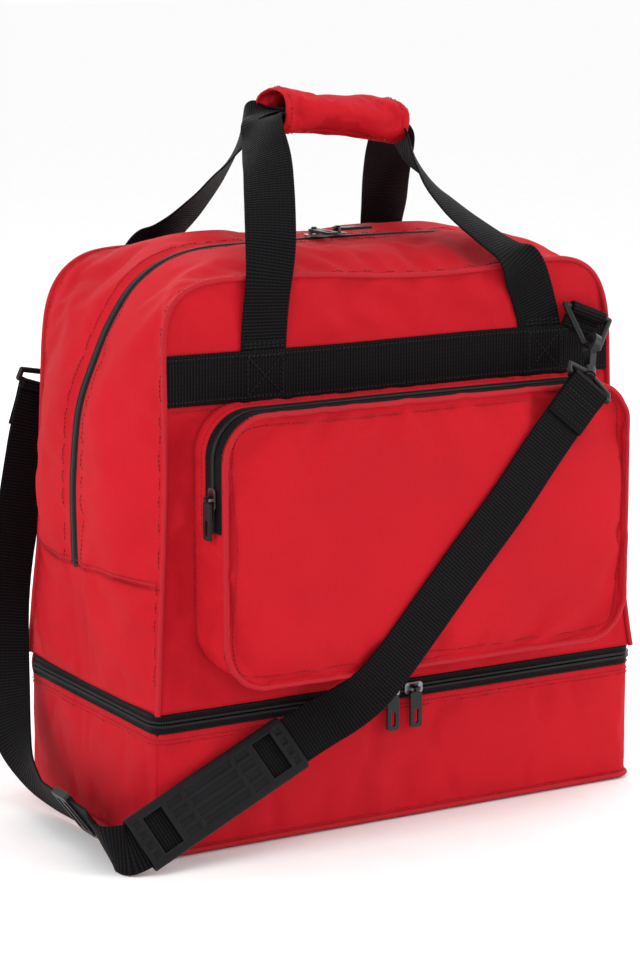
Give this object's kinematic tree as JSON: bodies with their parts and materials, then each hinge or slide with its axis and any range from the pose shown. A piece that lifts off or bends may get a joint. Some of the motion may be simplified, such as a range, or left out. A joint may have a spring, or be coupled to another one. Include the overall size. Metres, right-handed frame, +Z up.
{
  "type": "hockey equipment bag",
  "caption": "Upright soft equipment bag: domed upper compartment on a boxy zipped base compartment, front pocket, webbing handles, hook-on shoulder strap.",
  "frame": {"origin": "middle of the base compartment's underside", "axes": "+Z up, -Y to the pocket side (front), +X to the bag's right seen from the front"},
  "size_m": [0.5263, 0.3277, 0.588],
  "materials": {
    "red_cloth": "woven polyester",
    "black_webbing": "ribbed webbing",
    "black_lining": "plain weave lining",
    "board": "matt",
    "zip_tape": "ribbed zip tape",
    "zip_coil": "moulded nylon coil",
    "slider_metal": "black enamel with worn edges",
    "pull_plastic": "moulded plastic",
    "black_plastic": "moulded plastic",
    "pad_rubber": "ribbed rubber"
  },
  "bodies": {
    "base": {"base_wall": "red_cloth", "base_floor": "black_lining", "base_board": "board", "base_piping": "red_cloth", "base_zip_lower_tape": "zip_tape", "base_zip_lower_coil": "zip_coil", "hinge_strip": "red_cloth"},
    "base_slider_left": {"base_slider_left": "slider_metal"},
    "base_slider_right": {"base_slider_right": "slider_metal"},
    "base_pull_left": {"base_pull_left": "pull_plastic"},
    "base_pull_right": {"base_pull_right": "pull_plastic"},
    "main_slider_left": {"main_slider_left": "slider_metal"},
    "main_slider_right": {"main_slider_right": "slider_metal"},
    "main_pull_left": {"main_pull_left": "pull_plastic"},
    "main_pull_right": {"main_pull_right": "pull_plastic"},
    "pocket_slider": {"pocket_slider": "slider_metal"},
    "pocket_pull": {"pocket_pull": "pull_plastic"},
    "grip": {"grip_wrap": "red_cloth", "front_handle_core": "black_webbing", "back_handle_core": "black_webbing"},
    "front_ring": {"front_ring": "black_plastic"},
    "back_ring": {"back_ring": "black_plastic"},
    "front_hook": {"front_hook": "black_plastic"},
    "back_hook": {"back_hook": "black_plastic"},
    "front_hook_gate": {"front_hook_gate": "black_plastic"},
    "back_hook_gate": {"back_hook_gate": "black_plastic"},
    "shoulder_pad": {"shoulder_pad": "pad_rubber"},
    "strap_adjuster": {"strap_adjuster": "black_plastic"},
    "upper": {"back_band": "black_webbing", "back_handle_ends": "black_webbing", "back_handle_legs": "black_webbing", "back_panel": "red_cloth", "back_piping": "red_cloth", "back_ring_tab": "black_webbing", "back_strap_frame": "black_plastic", "base_zip_upper_coil": "zip_coil", "base_zip_upper_tape": "zip_tape", "divider": "black_lining", "front_band": "black_webbing", "front_handle_ends": "black_webbing", "front_handle_legs": "black_webbing", "front_panel": "red_cloth", "front_piping": "red_cloth", "front_ring_tab": "black_webbing", "front_strap_frame": "black_plastic", "gusset_back": "red_cloth", "gusset_front": "red_cloth", "main_zip_back_tape": "zip_tape", "main_zip_coil": "zip_coil", "main_zip_front_tape": "zip_tape", "pocket_gusset": "red_cloth", "pocket_panel": "red_cloth", "pocket_piping": "red_cloth", "pocket_zip_back_tape": "zip_tape", "pocket_zip_coil": "zip_coil", "pocket_zip_front_tape": "zip_tape", "shoulder_strap": "black_webbing", "side_panel_left": "red_cloth", "side_panel_right": "red_cloth"}
  },
  "joints": [
    {"name": "upper_tilt", "type": "hinge", "parent": "base", "child": "upper", "pos_m": [0, 0.1175, 0.117], "axis": [-1, 0, 0], "range_deg": [0, 85]},
    {"name": "base_slider_left_slide", "type": "slide", "parent": "base", "child": "base_slider_left", "axis": [1, 0, 0], "range_m": [-0.19, 0]},
    {"name": "base_slider_right_slide", "type": "slide", "parent": "base", "child": "base_slider_right", "axis": [1, 0, 0], "range_m": [0, 0.19]},
    {"name": "base_pull_left_swing", "type": "hinge", "parent": "base_slider_left", "child": "base_pull_left", "pos_m": [-0.015, -0.1239, 0.109], "axis": [-1, 0, 0], "range_deg": [-6, 140]},
    {"name": "base_pull_right_swing", "type": "hinge", "parent": "base_slider_right", "child": "base_pull_right", "pos_m": [0.007, -0.1239, 0.109], "axis": [-1, 0, 0], "range_deg": [-6, 140]},
    {"name": "main_slider_left_slide", "type": "slide", "parent": "upper", "child": "main_slider_left", "axis": [1, 0, 0], "range_m": [-0.09, 0]},
    {"name": "main_slider_right_slide", "type": "slide", "parent": "upper", "child": "main_slider_right", "axis": [1, 0, 0], "range_m": [0, 0.09]},
    {"name": "main_pull_left_swing", "type": "hinge", "parent": "main_slider_left", "child": "main_pull_left", "pos_m": [-0.017, 0, 0.47339], "axis": [-1, 0, 0], "range_deg": [-3, 170]},
    {"name": "main_pull_right_swing", "type": "hinge", "parent": "main_slider_right", "child": "main_pull_right", "pos_m": [0.005, 0, 0.4734], "axis": [0, -1, 0], "range_deg": [-3, 170]},
    {"name": "pocket_slider_slide", "type": "slide", "parent": "upper", "child": "pocket_slider", "axis": [0, 0, 1], "range_m": [-0.016, 0.02]},
    {"name": "pocket_pull_swing", "type": "hinge", "parent": "pocket_slider", "child": "pocket_pull", "pos_m": [-0.1944, -0.1435, 0.29], "axis": [0, 1, 0], "range_deg": [-6, 140]},
    {"name": "grip_drop", "type": "slide", "parent": "upper", "child": "grip", "axis": [0, 0, 1], "range_m": [-0.06, 0], "deforming": ["front_handle_legs", "back_handle_legs"]},
    {"name": "front_ring_swing", "type": "hinge", "parent": "upper", "child": "front_ring", "pos_m": [0.17, -0.1257, 0.407], "axis": [0.9336, 0, -0.3584], "range_deg": [-5, 5]},
    {"name": "back_ring_swing", "type": "hinge", "parent": "upper", "child": "back_ring", "pos_m": [-0.172, 0.1257, 0.407], "axis": [-0.9336, 0, 0.3584], "range_deg": [-5, 5]},
    {"name": "front_hook_swivel", "type": "hinge", "parent": "upper", "child": "front_hook", "pos_m": [0.16072, -0.14451, 0.38283], "axis": [-0.4952, -0.6338, -0.5942], "range_deg": [-8, 8]},
    {"name": "back_hook_swivel", "type": "hinge", "parent": "upper", "child": "back_hook", "pos_m": [-0.18263, 0.13769, 0.3793], "axis": [-0.4498, -0.08, -0.8896], "range_deg": [-8, 8]},
    {"name": "front_hook_gate_swing", "type": "hinge", "parent": "front_hook", "child": "front_hook_gate", "pos_m": [0.15683, -0.1402, 0.37526], "axis": [0.8365, -0.1632, -0.523], "range_deg": [0, 14]},
    {"name": "back_hook_gate_swing", "type": "hinge", "parent": "back_hook", "child": "back_hook_gate", "pos_m": [-0.18404, 0.12862, 0.37667], "axis": [-0.8927, 0.0081, 0.4506], "range_deg": [0, 14]},
    {"name": "pad_slide", "type": "slide", "parent": "upper", "child": "shoulder_pad", "axis": [0.9052, 0, 0.4251], "range_m": [0, 0.02]},
    {"name": "adjuster_slide", "type": "slide", "parent": "upper", "child": "strap_adjuster", "axis": [0, 1, 0], "range_m": [-0.012, 0.012]}
  ]
}
